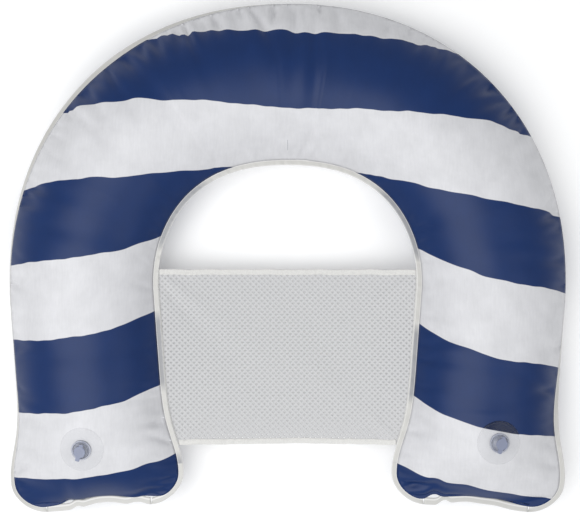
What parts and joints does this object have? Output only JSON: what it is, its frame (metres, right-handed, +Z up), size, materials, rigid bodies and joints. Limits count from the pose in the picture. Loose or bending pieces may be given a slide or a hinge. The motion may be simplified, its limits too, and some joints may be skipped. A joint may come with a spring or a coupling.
{
  "type": "inflatable pool float",
  "caption": "U-shaped inflatable pool float in striped fabric-covered vinyl, with a mesh seat sling between its legs and a capped air valve on each leg.",
  "frame": {"origin": "on the floor under the middle of the float's bounding box", "axes": "+X to the user's right across the legs, +Y towards the arch, +Z up, the float lying flat"},
  "size_m": [0.8923, 0.8141, 0.1443],
  "materials": {
    "striped_fabric": "woven polyester laminated to vinyl, navy and white stripes 120 mm wide, satin",
    "clear_film": "clear vinyl film",
    "weld_band": "translucent welded vinyl edge, fine weld grain",
    "mesh": "off-white polyester mesh with rows of small holes",
    "binding": "off-white woven tape",
    "valve_vinyl": "clear soft vinyl moulding"
  },
  "bodies": {
    "float": {"top_cover": "striped_fabric", "bottom_cover": "striped_fabric", "top_film": "clear_film", "bottom_film": "clear_film", "weld_flange": "weld_band", "chamber_divider": "clear_film", "sling_mesh": "mesh", "sling_top_hem": "binding", "sling_bottom_hem": "binding", "left_sling_tape": "binding", "right_sling_tape": "binding", "left_valve_patch": "valve_vinyl", "right_valve_patch": "valve_vinyl", "left_valve_ring": "valve_vinyl", "right_valve_ring": "valve_vinyl"},
    "left_stem": {"left_valve_stem": "valve_vinyl"},
    "left_cap": {"left_valve_cap": "valve_vinyl"},
    "left_flap": {"left_valve_flap": "valve_vinyl"},
    "right_stem": {"right_valve_stem": "valve_vinyl"},
    "right_cap": {"right_valve_cap": "valve_vinyl"},
    "right_flap": {"right_valve_flap": "valve_vinyl"}
  },
  "joints": [
    {"name": "left_valve_press", "type": "slide", "parent": "float", "child": "left_stem", "axis": [-0.0717, -0.1271, 0.9893], "range_m": [-0.009, 0]},
    {"name": "left_cap_swing", "type": "hinge", "parent": "left_stem", "child": "left_cap", "pos_m": [-0.31795, -0.28908, 0.14299], "axis": [-0.9607, 0.2755, -0.0342], "range_deg": [0, 150]},
    {"name": "left_flap_swing", "type": "hinge", "parent": "left_stem", "child": "left_flap", "pos_m": [-0.31835, -0.29279, 0.12429], "axis": [0.9607, -0.2755, 0.0342], "range_deg": [0, 60]},
    {"name": "right_valve_press", "type": "slide", "parent": "float", "child": "right_stem", "axis": [0.1392, -0.0402, 0.9894], "range_m": [-0.009, 0]},
    {"name": "right_cap_swing", "type": "hinge", "parent": "right_stem", "child": "right_cap", "pos_m": [0.33454, -0.27699, 0.14128], "axis": [-0.9511, 0.2727, 0.1449], "range_deg": [0, 150]},
    {"name": "right_flap_swing", "type": "hinge", "parent": "right_stem", "child": "right_flap", "pos_m": [0.33029, -0.28232, 0.12347], "axis": [0.9511, -0.2727, -0.1449], "range_deg": [0, 60]}
  ]
}
